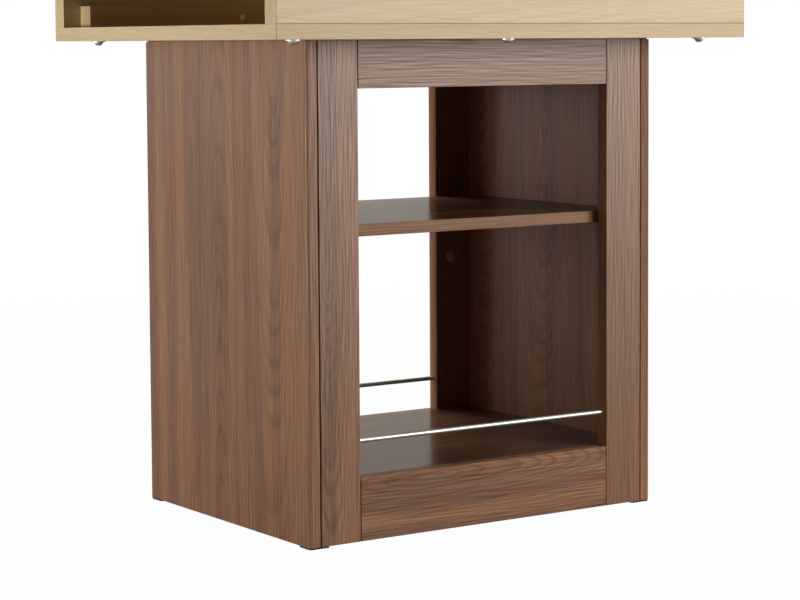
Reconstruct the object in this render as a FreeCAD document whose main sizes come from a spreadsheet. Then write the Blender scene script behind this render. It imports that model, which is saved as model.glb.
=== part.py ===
"""Kitchen table on a storage cabinet, modelled as the separate boards and fittings it is assembled from.

Lengths are millimetres. The origin is on the floor under the middle of the table, +Z is up and the front
faces -Y. Both ends of the top box, at -X and +X, are open.
"""

import FreeCAD, Part
import os
import re
from enum import IntEnum

import Sketcher

# Driving sizes, kept in the sheet. Names that end in share are fractions, all others are lengths.
SIZES = {
    # Top box
    "table_length": 710,
    "table_width": 568,
    "table_height": 760,
    "tabletop_thickness": 25,
    "tabletop_edge_radius": 2,
    "box_floor_thickness": 18,
    "apron_thickness": 25,
    "apron_height": 104,
    "partition_thickness": 18,
    # How far the top box stands out over the cabinet at its ends and at its front and back
    "overhang_along_length": 90,
    "overhang_along_width": 82,
    # Cabinet carcass
    "panel_thickness": 15,
    "panel_corner_radius": 4,
    "frame_thickness": 18,
    "stile_width": 58,
    "top_rail_height": 59,
    "bottom_rail_height": 78.5,
    "floor_thickness": 15,
    "arris_radius": 0.6,
    # Narrow rebates that show as dark lines beside the stiles, at the rail ends and under the top box
    "seam_depth": 4.5,
    "side_seam_width": 2,
    "joint_line_width": 1.2,
    "shadow_line_height": 1.6,
    "panel_line_depth": 2,
    # Shelf and the pins that it rests on
    "shelf_thickness": 15,
    "shelf_rest_height": 373.5,
    "shelf_clearance": 1,
    "pin_diameter": 5,
    "pin_seat_depth": 8,
    "pin_tongue_length": 11,
    "pin_tongue_width": 8,
    "pin_tongue_thickness": 3,
    "pin_setback": 38,
    # Guard rods across the lower opening
    "rod_diameter": 6,
    "rod_height": 44.5,
    "rod_seat_depth": 8,
    "rod_end_gap": 0.3,
    # Foot pads under the corners of the cabinet
    "foot_thickness": 2,
    "foot_length": 27,
    "foot_width": 29,
    "foot_inset": 0.5,
    "foot_corner_radius": 4,
    "foot_stud_diameter": 5,
    "foot_stud_length": 10,
    # Square cleats inside the cabinet top and behind the aprons
    "cleat_size": 28,
    "cleat_end_setback": 25,
    "cleat_screw_share": 0.3,
    # Cam locks and their bolts
    "cam_diameter": 15,
    "cam_depth": 12,
    "cam_setback": 34,
    "cam_axis_depth": 7.5,
    "cam_slot_length": 9,
    "cam_slot_width": 2,
    "cam_slot_depth": 2,
    "cam_low_height": 41,
    "cam_middle_height": 300,
    "cam_top_distance": 29,
    "floor_cam_setback": 74,
    "tabletop_cam_setback": 135,
    "bolt_thread_diameter": 6,
    "bolt_thread_depth": 11,
    "bolt_shank_diameter": 5,
    "bolt_head_diameter": 7,
    "bolt_head_length": 5,
    # Dowels
    "dowel_diameter": 8,
    "dowel_length": 24,
    "dowel_tip_diameter": 6,
    "dowel_tip_length": 2,
    "dowel_rail_inset": 16,
    "apron_dowel_setback": 155,
    "partition_dowel_setback": 125,
    # Wood screws
    "screw_diameter": 4,
    "screw_head_diameter": 8,
    "screw_head_height": 2.5,
    "screw_bite": 10,
    # Flanged bolts under the overhang of the top box
    "apron_bolt_diameter": 6,
    "apron_bolt_grip": 20,
    "apron_bolt_setback": 45,
    "apron_bolt_offset": 2,
    "apron_bolt_head_diameter": 13,
    "apron_bolt_head_height": 5.2,
    "apron_bolt_socket_width": 5,
    "apron_bolt_socket_depth": 2.5,
    "washer_diameter": 18.5,
    "washer_thickness": 1.2,
    # Fits
    "bore_clearance": 0.2,
}

# Places worked out from the sizes
TOP_UNDERSIDE = "(table_height - tabletop_thickness)"
BOX_FLOOR_TOP = f"({TOP_UNDERSIDE} - apron_height)"
UNDERSIDE = f"({BOX_FLOOR_TOP} - box_floor_thickness)"
FLOOR_TOP = "(foot_thickness + bottom_rail_height)"
FLOOR_BASE = f"({FLOOR_TOP} - floor_thickness)"
TOP_RAIL_BASE = f"({UNDERSIDE} - top_rail_height)"
HALF_LENGTH = "(table_length / 2)"
APRON_FACE = "(table_width / 2)"
HALF_WIDTH = f"({HALF_LENGTH} - overhang_along_length)"
HALF_DEPTH = f"({APRON_FACE} - overhang_along_width)"
PANEL_FACE = f"({HALF_WIDTH} - panel_thickness)"
OPENING_EDGE = f"({PANEL_FACE} - stile_width)"
FRAME_BACK = f"({HALF_DEPTH} - frame_thickness)"
SEAM_BACK = f"({HALF_DEPTH} - seam_depth)"
FRAME_MIDDLE = f"({HALF_DEPTH} - frame_thickness / 2)"
APRON_BACK = f"({APRON_FACE} - apron_thickness)"
APRON_MIDDLE = f"({APRON_FACE} - apron_thickness / 2)"
ROD_LEVEL = f"({FLOOR_TOP} + rod_height)"
PIN_LEVEL = "(shelf_rest_height - pin_diameter / 2)"
PIN_PLACE = f"({FRAME_BACK} - shelf_clearance - pin_setback)"
CAM_TOP_LEVEL = f"({UNDERSIDE} - cam_top_distance)"
CAM_LEVELS = ("cam_low_height", "cam_middle_height", CAM_TOP_LEVEL)
STILE_CAM_PLACE = f"({PANEL_FACE} - cam_setback)"
STILE_BOLT_LINE = f"({FRAME_BACK} + cam_axis_depth)"
FLOOR_BOLT_LINE = f"({FLOOR_BASE} + cam_axis_depth)"
FLOOR_CAM_PLACE = f"({FRAME_BACK} - floor_cam_setback)"
TABLETOP_CAM_PLACE = f"({HALF_LENGTH} - tabletop_cam_setback)"
APRON_CAM_LEVEL = f"({TOP_UNDERSIDE} - cam_setback)"
APRON_BOLT_LINE = f"({APRON_BACK} + cam_axis_depth)"
CLEAT_FACE = f"({PANEL_FACE} - cleat_size)"
CLEAT_BASE = f"({UNDERSIDE} - cleat_size)"
CLEAT_LINE = f"({PANEL_FACE} - cleat_size / 2)"
CLEAT_LEVEL = f"({UNDERSIDE} - cleat_size / 2)"
CLEAT_SCREW_PLACE = f"({FRAME_BACK} * cleat_screw_share)"
CLEAT_UPRIGHT_PLACE = f"({FRAME_BACK} * cleat_screw_share * 2)"
BATTEN_FACE = f"({APRON_BACK} - cleat_size)"
BATTEN_LINE = f"({APRON_BACK} - cleat_size / 2)"
APRON_BOLT_ROW = f"({BATTEN_LINE} + apron_bolt_offset)"
BATTEN_LEVEL = f"({BOX_FLOOR_TOP} + cleat_size / 2)"
BATTEN_END = f"({HALF_LENGTH} - cleat_end_setback)"
BATTEN_SCREW_PLACE = f"({BATTEN_END} * cleat_screw_share)"
APRON_BOLT_PLACE = f"({HALF_LENGTH} - apron_bolt_setback)"
APRON_DOWEL_PLACE = f"({HALF_LENGTH} - apron_dowel_setback)"
PARTITION_DOWEL_PLACE = f"({APRON_BACK} - partition_dowel_setback)"
DOWEL_RAIL_LEVELS = (
    "(foot_thickness + dowel_rail_inset)",
    f"({FLOOR_TOP} - dowel_rail_inset)",
    f"({TOP_RAIL_BASE} + dowel_rail_inset)",
    f"({UNDERSIDE} - dowel_rail_inset)",
)
SCREW_LENGTH = "(cleat_size + screw_bite)"
APRON_BOLT_LENGTH = "(washer_thickness + box_floor_thickness + apron_bolt_grip)"
HEAD_RADIUS = "(apron_bolt_head_diameter / 2)"
APRON_BOLT_DOME = f"(({HEAD_RADIUS} ^ 2 / apron_bolt_head_height + apron_bolt_head_height) / 2)"

# Bore diameters, each the size of what goes in and the clearance
DOWEL_BORE = "(dowel_diameter + bore_clearance)"
CAM_BORE = "(cam_diameter + bore_clearance)"
BOLT_HEAD_BORE = "(bolt_head_diameter + bore_clearance)"
BOLT_THREAD_BORE = "(bolt_thread_diameter + bore_clearance)"
SCREW_BORE = "(screw_diameter + bore_clearance)"
APRON_BOLT_BORE = "(apron_bolt_diameter + bore_clearance)"
PIN_BORE = "(pin_diameter + bore_clearance)"
ROD_BORE = "(rod_diameter + bore_clearance)"
STUD_BORE = "(foot_stud_diameter + bore_clearance)"

# The origin plane square to each axis, and whether its normal runs with or against that axis
PLANES = {"x": ("YZ_Plane", 1), "y": ("XZ_Plane", -1), "z": ("XY_Plane", 1)}
AXES = {
    "x": FreeCAD.Vector(1, 0, 0),
    "y": FreeCAD.Vector(0, 1, 0),
    "z": FreeCAD.Vector(0, 0, 1),
}
SIDES = (("left", -1), ("right", 1))
FACES = (("front", -1), ("back", 1))
BOTH = (-1, 1)

# How near an edge lies to a limit to be on it, and how nearly it follows an axis
TOUCH = 0.01
PARALLEL_SHARE = 0.999

doc = FreeCAD.newDocument("kitchen_table")
nodes = []


class Pick(IntEnum):
    """What a sketch constraint can pick: the sketch's root, and a curve's start, end and centre."""

    ROOT = -1
    START = 1
    END = 2
    CENTRE = 3


def fill_sheet():
    """Write every driving size to a sheet cell with its name as the alias."""
    sheet = doc.addObject("Spreadsheet::Sheet", "sizes")
    for row, (name, value) in enumerate(SIZES.items(), start=1):
        sheet.set(f"A{row}", name)
        sheet.set(f"B{row}", str(value))
        sheet.setAlias(f"B{row}", name)
    doc.recompute()


def bind(item, path, formula):
    """Tie one property of an object to a formula of sheet sizes."""
    item.setExpression(path, re.sub(r"[a-z]\w*", lambda name: f"sizes.{name.group()}", formula))


def on_side(side, place):
    """Give the formula of a place at the left or front (-1) or the right or back (1)."""
    return f"({side} * {place})"


def span(side, inner, outer):
    """Give the low and high formulas of a stretch that lies on one side of the middle."""
    low, high = (inner, outer) if side > 0 else (outer, inner)
    return on_side(side, low), on_side(side, high)


def middle_span(reach):
    """Give the low and high formulas of a stretch that is centred on the middle."""
    return f"(-{reach})", reach


def new_sketch(body, name, axis, level):
    """Add a sketch square to an axis, at a level along it."""
    role, normal = PLANES[axis]
    sketch = body.newObject("Sketcher::SketchObject", name)
    plane = next(item for item in body.Origin.OriginFeatures if item.Role == role)
    sketch.AttachmentSupport = (plane, [""])
    sketch.MapMode = "FlatFace"
    bind(sketch, "AttachmentOffset.Base.z", f"{normal} * {level}")
    return sketch


def dimension(sketch, kind, picks, formula):
    """Add a sketch dimension tied to a formula."""
    index = sketch.addConstraint(Sketcher.Constraint(kind, *picks, 1))
    bind(sketch, f"Constraints[{index}]", formula)


def draw_rectangle(sketch, low, high):
    """Draw a unit rectangle and dimension its two far corners from the sketch's root."""
    corners = [FreeCAD.Vector(x, y, 0) for x, y in ((0, 0), (1, 0), (1, 1), (0, 1))]
    for start, end in zip(corners, corners[1:] + corners[:1]):
        sketch.addGeometry(Part.LineSegment(start, end))
    for line in range(len(corners)):
        following = (line + 1) % len(corners)
        sketch.addConstraint(Sketcher.Constraint("Coincident", line, Pick.END, following, Pick.START))
        sketch.addConstraint(Sketcher.Constraint("Vertical" if line % 2 else "Horizontal", line))
    for corner, place in ((0, low), (2, high)):
        dimension(sketch, "DistanceX", (Pick.ROOT, Pick.START, corner, Pick.START), place[0])
        dimension(sketch, "DistanceY", (Pick.ROOT, Pick.START, corner, Pick.START), place[1])


def draw_circles(sketch, centres, diameter):
    """Draw one circle of a diameter at each pair of place formulas."""
    for index, centre in enumerate(centres):
        sketch.addGeometry(Part.Circle(FreeCAD.Vector(index, index, 0), FreeCAD.Vector(0, 0, 1), 1))
        dimension(sketch, "DistanceX", (Pick.ROOT, Pick.START, index, Pick.CENTRE), centre[0])
        dimension(sketch, "DistanceY", (Pick.ROOT, Pick.START, index, Pick.CENTRE), centre[1])
        dimension(sketch, "Diameter", (index,), diameter)


def board(label, x_span, y_span, z_span):
    """Pad a board between its low and high places on the three axes."""
    body = doc.addObject("PartDesign::Body", label)
    sketch = new_sketch(body, f"{label}_outline", "z", z_span[0])
    draw_rectangle(sketch, (x_span[0], y_span[0]), (x_span[1], y_span[1]))
    pad = body.newObject("PartDesign::Pad", f"{label}_pad")
    pad.Profile = sketch
    bind(pad, "Length", f"{z_span[1]} - {z_span[0]}")
    doc.recompute()
    nodes.append(body)
    return body


def edges_along(shape, axis, **limits):
    """Name the straight edges along an axis, at the low or high limit of other axes where these are given."""
    names = []
    for number, edge in enumerate(shape.Edges, start=1):
        if edge.Degenerated or not isinstance(edge.Curve, Part.Line):
            continue
        if abs(edge.Curve.Direction.dot(AXES[axis])) < PARALLEL_SHARE:
            continue
        gaps = [getattr(edge.CenterOfMass, other) - getattr(shape.BoundBox, f"{other.upper()}{end}")
                for other, end in limits.items()]
        if all(abs(gap) < TOUCH for gap in gaps):
            names.append(f"Edge{number}")
    return names


def ease(body, radius, *picks):
    """Round the edges that each pick names as an axis and the limits they lie on."""
    base = body.Tip
    names = [name for axis, limits in picks for name in edges_along(base.Shape, axis, **limits)]
    fillet = body.newObject("PartDesign::Fillet", f"{body.Label}_eased")
    fillet.Base = (base, names)
    bind(fillet, "Radius", radius)
    doc.recompute()


def drill(body, axis, level, toward, centres, diameter, depth):
    """Drill round holes from a level along an axis, towards its low (-1) or high (1) end."""
    sketch = new_sketch(body, f"{body.Label}_holes", axis, level)
    draw_circles(sketch, centres, diameter)
    pocket = body.newObject("PartDesign::Pocket", f"{body.Label}_bore")
    pocket.Profile = sketch
    pocket.Reversed = toward == PLANES[axis][1]
    bind(pocket, "Length", depth)


def notch(body, axis, level, toward, low, high, depth):
    """Cut a rectangular notch from a level along an axis."""
    sketch = new_sketch(body, f"{body.Label}_notch_outline", axis, level)
    draw_rectangle(sketch, low, high)
    pocket = body.newObject("PartDesign::Pocket", f"{body.Label}_notch")
    pocket.Profile = sketch
    pocket.Reversed = toward == PLANES[axis][1]
    bind(pocket, "Length", depth)


def rebate(body, x_span, y_span, top, height):
    """Cut a narrow rebate downwards from a level of a board."""
    notch(body, "z", top, -1, (x_span[0], y_span[0]), (x_span[1], y_span[1]), height)


def stud(body, level, centre, diameter, length):
    """Raise a round stud from a level of a body."""
    sketch = new_sketch(body, f"{body.Label}_stud_outline", "z", level)
    draw_circles(sketch, [centre], diameter)
    pad = body.newObject("PartDesign::Pad", f"{body.Label}_stud")
    pad.Profile = sketch
    bind(pad, "Length", length)


def place(item, x="0", y="0", z="0"):
    """Tie an object's place to formulas."""
    for path, formula in (("x", x), ("y", y), ("z", z)):
        bind(item, f"Placement.Base.{path}", formula)


def rod(name, axis, diameter, length, x="0", y="0", z="0"):
    """Make a cylinder that runs from its place along an axis."""
    item = doc.addObject("Part::Cylinder", name)
    item.Placement = FreeCAD.Placement(FreeCAD.Vector(), FreeCAD.Rotation(AXES["z"], AXES[axis]))
    bind(item, "Radius", f"{diameter} / 2")
    bind(item, "Height", length)
    place(item, x, y, z)
    return item


def cone(name, axis, start_diameter, end_diameter, length, x="0", y="0", z="0"):
    """Make a cone that runs from its place along an axis, from one diameter to another."""
    item = doc.addObject("Part::Cone", name)
    item.Placement = FreeCAD.Placement(FreeCAD.Vector(), FreeCAD.Rotation(AXES["z"], AXES[axis]))
    bind(item, "Radius1", f"{start_diameter} / 2")
    bind(item, "Radius2", f"{end_diameter} / 2")
    bind(item, "Height", length)
    place(item, x, y, z)
    return item


def block(name, x_span, y_span, z_span):
    """Make a box between its low and high places on the three axes."""
    item = doc.addObject("Part::Box", name)
    for path, (low, high) in (("Length", x_span), ("Width", y_span), ("Height", z_span)):
        bind(item, path, f"{high} - {low}")
    place(item, x_span[0], y_span[0], z_span[0])
    return item


def fused(name, items):
    """Join forms of one piece."""
    whole = doc.addObject("Part::MultiFuse", name)
    whole.Shapes = items
    return whole


def cut(name, base, tool):
    """Take a tool's form out of a base."""
    rest = doc.addObject("Part::Cut", name)
    rest.Base = base
    rest.Tool = tool
    return rest


def aimed(run, face):
    """Give the turn that takes local X to one direction and local Z to another."""
    return FreeCAD.Rotation(run, face.cross(run), face, "XZY")


def group(label, form, places):
    """Set a copy of a form at each turn and place, as one node of separate solids."""
    copies = []
    for number, (turn, spot) in enumerate(places, start=1):
        copy = doc.addObject("App::Link", f"{label}_{number}")
        copy.LinkedObject = form
        copy.Placement = FreeCAD.Placement(FreeCAD.Vector(), turn)
        place(copy, *spot)
        copies.append(copy)
    whole = doc.addObject("Part::Compound", label)
    whole.Links = copies
    nodes.append(whole)


# Carcass

def make_side_panel(name, side):
    """Make a side panel with its bores for the cam bolts, shelf pins, cleat screws and foot studs."""
    panel = board(f"{name}_side_panel", span(side, PANEL_FACE, HALF_WIDTH), middle_span(HALF_DEPTH),
                  ("foot_thickness", UNDERSIDE))
    outer = "Max" if side > 0 else "Min"
    inner = "Min" if side > 0 else "Max"
    ease(panel, "panel_corner_radius", ("z", {"x": outer}))
    ease(panel, "arris_radius", ("z", {"x": inner}))
    rebate(panel, span(side, f"({HALF_WIDTH} - panel_line_depth)", HALF_WIDTH), middle_span(HALF_DEPTH),
           UNDERSIDE, "shadow_line_height")
    for face in BOTH:
        rebate(panel, span(side, PANEL_FACE, HALF_WIDTH), span(face, SEAM_BACK, HALF_DEPTH), UNDERSIDE,
               "shadow_line_height")
    bolts = [(on_side(face, STILE_BOLT_LINE), level) for face in BOTH for level in CAM_LEVELS]
    bolts += [(on_side(face, FLOOR_CAM_PLACE), FLOOR_BOLT_LINE) for face in BOTH]
    pins = [(on_side(face, PIN_PLACE), PIN_LEVEL) for face in BOTH]
    screws = [(on_side(face, CLEAT_SCREW_PLACE), CLEAT_LEVEL) for face in BOTH]
    level = on_side(side, PANEL_FACE)
    drill(panel, "x", level, side, bolts, BOLT_THREAD_BORE, "bolt_thread_depth")
    drill(panel, "x", level, side, pins, PIN_BORE, "pin_seat_depth")
    drill(panel, "x", level, side, screws, SCREW_BORE, "screw_bite")
    studs = [(stud_x(side), foot_y(face)) for face in BOTH]
    drill(panel, "z", "foot_thickness", 1, studs, STUD_BORE, "foot_stud_length")


def make_stile(name, side, face):
    """Make an upright of the front or back frame with its cam, bolt, dowel and rod bores."""
    stile = board(name, span(side, OPENING_EDGE, PANEL_FACE), span(face, FRAME_BACK, HALF_DEPTH),
                  ("foot_thickness", UNDERSIDE))
    ease(stile, "arris_radius", ("z", {}))
    seam = span(face, SEAM_BACK, HALF_DEPTH)
    rebate(stile, span(side, f"({PANEL_FACE} - side_seam_width)", PANEL_FACE), seam, UNDERSIDE,
           f"({UNDERSIDE} - foot_thickness)")
    rebate(stile, span(side, OPENING_EDGE, PANEL_FACE), seam, UNDERSIDE, "shadow_line_height")
    cams = [(on_side(side, STILE_CAM_PLACE), level) for level in CAM_LEVELS]
    bolts = [(on_side(face, STILE_BOLT_LINE), level) for level in CAM_LEVELS]
    dowels = [(on_side(face, FRAME_MIDDLE), level) for level in DOWEL_RAIL_LEVELS]
    drill(stile, "y", on_side(face, FRAME_BACK), face, cams, CAM_BORE, "cam_depth")
    drill(stile, "x", on_side(side, PANEL_FACE), -side, bolts, BOLT_HEAD_BORE, "cam_setback")
    drill(stile, "x", on_side(side, OPENING_EDGE), side, dowels, DOWEL_BORE, "dowel_length / 2")
    drill(stile, "x", on_side(side, OPENING_EDGE), side, [(on_side(face, FRAME_MIDDLE), ROD_LEVEL)], ROD_BORE,
          "rod_seat_depth")


def make_rail(name, face, z_span, levels):
    """Make a rail between the stiles, with joint lines and dowel bores at both ends."""
    rail = board(name, middle_span(OPENING_EDGE), span(face, FRAME_BACK, HALF_DEPTH), z_span)
    ease(rail, "arris_radius", ("x", {}))
    seam = span(face, SEAM_BACK, HALF_DEPTH)
    for side in BOTH:
        line = span(side, f"({OPENING_EDGE} - joint_line_width)", OPENING_EDGE)
        rebate(rail, line, seam, z_span[1], f"({z_span[1]} - {z_span[0]})")
        dowels = [(on_side(face, FRAME_MIDDLE), level) for level in levels]
        drill(rail, "x", on_side(side, OPENING_EDGE), -side, dowels, DOWEL_BORE, "dowel_length / 2")
    if z_span[1] == UNDERSIDE:
        rebate(rail, middle_span(OPENING_EDGE), seam, UNDERSIDE, "shadow_line_height")


def make_cabinet_floor():
    """Make the cabinet floor, locked to the side panels from below."""
    floor = board("cabinet_floor", middle_span(PANEL_FACE), middle_span(FRAME_BACK), (FLOOR_BASE, FLOOR_TOP))
    ease(floor, "arris_radius", ("x", {"z": "Max"}))
    cams = [(on_side(side, STILE_CAM_PLACE), on_side(face, FLOOR_CAM_PLACE))
            for side in BOTH for face in BOTH]
    bolts = [(on_side(face, FLOOR_CAM_PLACE), FLOOR_BOLT_LINE) for face in BOTH]
    drill(floor, "z", FLOOR_BASE, 1, cams, CAM_BORE, "cam_depth")
    for side in BOTH:
        drill(floor, "x", on_side(side, PANEL_FACE), -side, bolts, BOLT_HEAD_BORE, "cam_setback")


def make_shelf():
    """Make the loose shelf that drops between the panels and frames onto its pins."""
    reach = f"({PANEL_FACE} - shelf_clearance)"
    depth = f"({FRAME_BACK} - shelf_clearance)"
    top = "(shelf_rest_height + shelf_thickness)"
    shelf = board("middle_shelf", middle_span(reach), middle_span(depth), ("shelf_rest_height", top))
    ease(shelf, "arris_radius", ("x", {}), ("y", {}))


def make_shelf_pin(name, side, face):
    """Make a spoon pin: a round shank in the panel and a flat tongue under the shelf."""
    outer = f"({PANEL_FACE} + pin_seat_depth)"
    inner = f"({PANEL_FACE} - pin_tongue_length)"
    y = on_side(face, PIN_PLACE)
    start = on_side(side, PANEL_FACE if side > 0 else outer)
    shank = rod(f"{name}_shank", "x", "pin_diameter", "pin_seat_depth", start, y, PIN_LEVEL)
    half = "pin_tongue_width / 2"
    tongue = block(f"{name}_tongue", span(side, inner, PANEL_FACE), (f"({y} - {half})", f"({y} + {half})"),
                   ("(shelf_rest_height - pin_tongue_thickness)", "shelf_rest_height"))
    nodes.append(fused(name, [shank, tongue]))


def make_guard_rod(name, face):
    """Make a guard rod whose ends sit in the stiles."""
    reach = f"({OPENING_EDGE} + rod_seat_depth - rod_end_gap)"
    y = on_side(face, FRAME_MIDDLE)
    nodes.append(rod(name, "x", "rod_diameter", f"2 * {reach}", f"-{reach}", y, ROD_LEVEL))


def foot_x(side):
    """Give the place of a foot pad's middle across the table."""
    return on_side(side, f"({HALF_WIDTH} - foot_inset - foot_width / 2)")


def stud_x(side):
    """Give the place of a foot pad's stud across the table, in the middle of the side panel."""
    return on_side(side, f"({HALF_WIDTH} - panel_thickness / 2)")


def foot_y(face):
    """Give the place of a foot pad's middle from front to back."""
    return on_side(face, f"({HALF_DEPTH} - foot_inset - foot_length / 2)")


def make_foot_pad(name, side, face):
    """Make a foot pad under a panel and stile, with rounded corners and a stud that holds it in the panel."""
    x, y = foot_x(side), foot_y(face)
    pad = board(name, (f"({x} - foot_width / 2)", f"({x} + foot_width / 2)"),
                (f"({y} - foot_length / 2)", f"({y} + foot_length / 2)"), ("0", "foot_thickness"))
    ease(pad, "foot_corner_radius", ("z", {}))
    stud(pad, "foot_thickness", (stud_x(side), y), "foot_stud_diameter", "foot_stud_length")


def make_top_cleat(name, side):
    """Make the cleat that ties a side panel to the box floor above it."""
    cleat = board(name, span(side, CLEAT_FACE, PANEL_FACE), middle_span(FRAME_BACK), (CLEAT_BASE, UNDERSIDE))
    ease(cleat, "arris_radius", ("y", {"z": "Min"}))
    across = [(on_side(face, CLEAT_SCREW_PLACE), CLEAT_LEVEL) for face in BOTH]
    upright = [(on_side(side, CLEAT_LINE), on_side(face, CLEAT_UPRIGHT_PLACE)) for face in BOTH]
    drill(cleat, "x", on_side(side, CLEAT_FACE), side, across, SCREW_BORE, "cleat_size")
    drill(cleat, "z", CLEAT_BASE, 1, upright, SCREW_BORE, "cleat_size")


# Top box

def apron_bolt_spots():
    """Give the places of the flanged bolts: both ends and the middle of each apron batten."""
    return [(f"({step} * {APRON_BOLT_PLACE})", on_side(face, APRON_BOLT_ROW))
            for face in BOTH for step in (-1, 0, 1)]


def apron_dowel_spots(face):
    """Give the places of the dowels between an apron and the box floor."""
    return [(on_side(side, APRON_DOWEL_PLACE), on_side(face, APRON_MIDDLE)) for side in BOTH]


def partition_dowel_spots():
    """Give the places of the dowels above and below the partition."""
    return [("0", on_side(face, PARTITION_DOWEL_PLACE)) for face in BOTH]


def top_cam_spots(face, line):
    """Give the places along an apron of the locks that hold the table top, on a line from front to back."""
    return [(on_side(side, TABLETOP_CAM_PLACE), on_side(face, line)) for side in BOTH]


def make_box_floor():
    """Make the floor panel of the top box."""
    floor = board("top_box_floor", middle_span(HALF_LENGTH), middle_span(APRON_FACE),
                  (UNDERSIDE, BOX_FLOOR_TOP))
    ease(floor, "arris_radius", ("x", {}), ("y", {}), ("z", {}))
    dowels = apron_dowel_spots(-1) + apron_dowel_spots(1) + partition_dowel_spots()
    screws = [(on_side(side, CLEAT_LINE), on_side(face, CLEAT_UPRIGHT_PLACE))
              for side in BOTH for face in BOTH]
    drill(floor, "z", UNDERSIDE, 1, apron_bolt_spots(), APRON_BOLT_BORE, "box_floor_thickness")
    drill(floor, "z", UNDERSIDE, 1, screws, SCREW_BORE, "screw_bite")
    drill(floor, "z", BOX_FLOOR_TOP, -1, dowels, DOWEL_BORE, "dowel_length / 2")


def make_apron(name, face):
    """Make the long board that closes the front or back of the top box."""
    apron = board(name, middle_span(HALF_LENGTH), span(face, APRON_BACK, APRON_FACE),
                  (BOX_FLOOR_TOP, TOP_UNDERSIDE))
    ease(apron, "arris_radius", ("x", {}), ("z", {}))
    cams = [(x, APRON_CAM_LEVEL) for x, _ in top_cam_spots(face, APRON_BACK)]
    screws = [(on_side(side, BATTEN_SCREW_PLACE), BATTEN_LEVEL) for side in BOTH]
    drill(apron, "z", BOX_FLOOR_TOP, 1, apron_dowel_spots(face), DOWEL_BORE, "dowel_length / 2")
    drill(apron, "y", on_side(face, APRON_BACK), face, cams, CAM_BORE, "cam_depth")
    drill(apron, "y", on_side(face, APRON_BACK), face, screws, SCREW_BORE, "screw_bite")
    drill(apron, "z", TOP_UNDERSIDE, -1, top_cam_spots(face, APRON_BOLT_LINE), BOLT_HEAD_BORE, "cam_setback")


def make_apron_batten(name, face):
    """Make the batten behind an apron that takes the flanged bolts."""
    batten = board(name, middle_span(BATTEN_END), span(face, BATTEN_FACE, APRON_BACK),
                   (BOX_FLOOR_TOP, f"({BOX_FLOOR_TOP} + cleat_size)"))
    ease(batten, "arris_radius", ("x", {}))
    bolts = [spot for spot in apron_bolt_spots() if spot[1] == on_side(face, APRON_BOLT_ROW)]
    screws = [(on_side(side, BATTEN_SCREW_PLACE), BATTEN_LEVEL) for side in BOTH]
    drill(batten, "z", BOX_FLOOR_TOP, 1, bolts, APRON_BOLT_BORE, "apron_bolt_grip")
    drill(batten, "y", on_side(face, BATTEN_FACE), face, screws, SCREW_BORE, "cleat_size")


def make_partition():
    """Make the board that halves the top box, notched over the two battens."""
    half = "(partition_thickness / 2)"
    partition = board("centre_partition", middle_span(half), middle_span(APRON_BACK),
                      (BOX_FLOOR_TOP, TOP_UNDERSIDE))
    for face in BOTH:
        y_span = span(face, BATTEN_FACE, APRON_BACK)
        notch(partition, "x", f"(-{half})", 1, (y_span[0], BOX_FLOOR_TOP),
              (y_span[1], f"({BOX_FLOOR_TOP} + cleat_size)"), "partition_thickness")
    drill(partition, "z", BOX_FLOOR_TOP, 1, partition_dowel_spots(), DOWEL_BORE, "dowel_length / 2")
    drill(partition, "z", TOP_UNDERSIDE, -1, partition_dowel_spots(), DOWEL_BORE, "dowel_length / 2")


def make_tabletop():
    """Make the table top with eased edges and the bores on its underside."""
    top = board("tabletop_panel", middle_span(HALF_LENGTH), middle_span(APRON_FACE),
                (TOP_UNDERSIDE, "table_height"))
    ease(top, "tabletop_edge_radius", ("z", {}), ("x", {"z": "Max"}), ("y", {"z": "Max"}))
    ease(top, "arris_radius", ("x", {"z": "Min"}), ("y", {"z": "Min"}))
    bolts = top_cam_spots(-1, APRON_BOLT_LINE) + top_cam_spots(1, APRON_BOLT_LINE)
    drill(top, "z", TOP_UNDERSIDE, 1, bolts, BOLT_THREAD_BORE, "bolt_thread_depth")
    drill(top, "z", TOP_UNDERSIDE, 1, partition_dowel_spots(), DOWEL_BORE, "dowel_length / 2")


# Forms of the small fittings, each in its own frame

def cam_lock_form():
    """Make a cam lock: its face is at local zero, and its bolt comes in along local X."""
    barrel = rod("cam_barrel", "z", "cam_diameter", "cam_depth", z="-cam_depth")
    half_way = "((bolt_head_diameter + bore_clearance) / 2)"
    bolt_way = block("cam_bolt_way", (f"(-{half_way})", "cam_diameter"), middle_span(half_way),
                     (f"(-cam_axis_depth - {half_way})", f"({half_way} - cam_axis_depth)"))
    long_half, short_half = "(cam_slot_length / 2)", "(cam_slot_width / 2)"
    slot_depth = ("(-cam_slot_depth)", "cam_slot_depth")
    slots = [block("cam_slot", middle_span(long_half), middle_span(short_half), slot_depth),
             block("cam_cross_slot", middle_span(short_half), middle_span(long_half), slot_depth)]
    return cut("cam_lock_form", barrel, fused("cam_hollow", [bolt_way, *slots]))


def cam_bolt_form():
    """Make a cam bolt along local X: its thread is below zero and its head is at the cam's middle."""
    head_start = "(cam_setback - bolt_head_length / 2)"
    return fused("cam_bolt_form", [
        rod("bolt_thread", "x", "bolt_thread_diameter", "bolt_thread_depth", x="-bolt_thread_depth"),
        rod("bolt_shank", "x", "bolt_shank_diameter", head_start),
        rod("bolt_head", "x", "bolt_head_diameter", "bolt_head_length", x=head_start),
    ])


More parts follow.
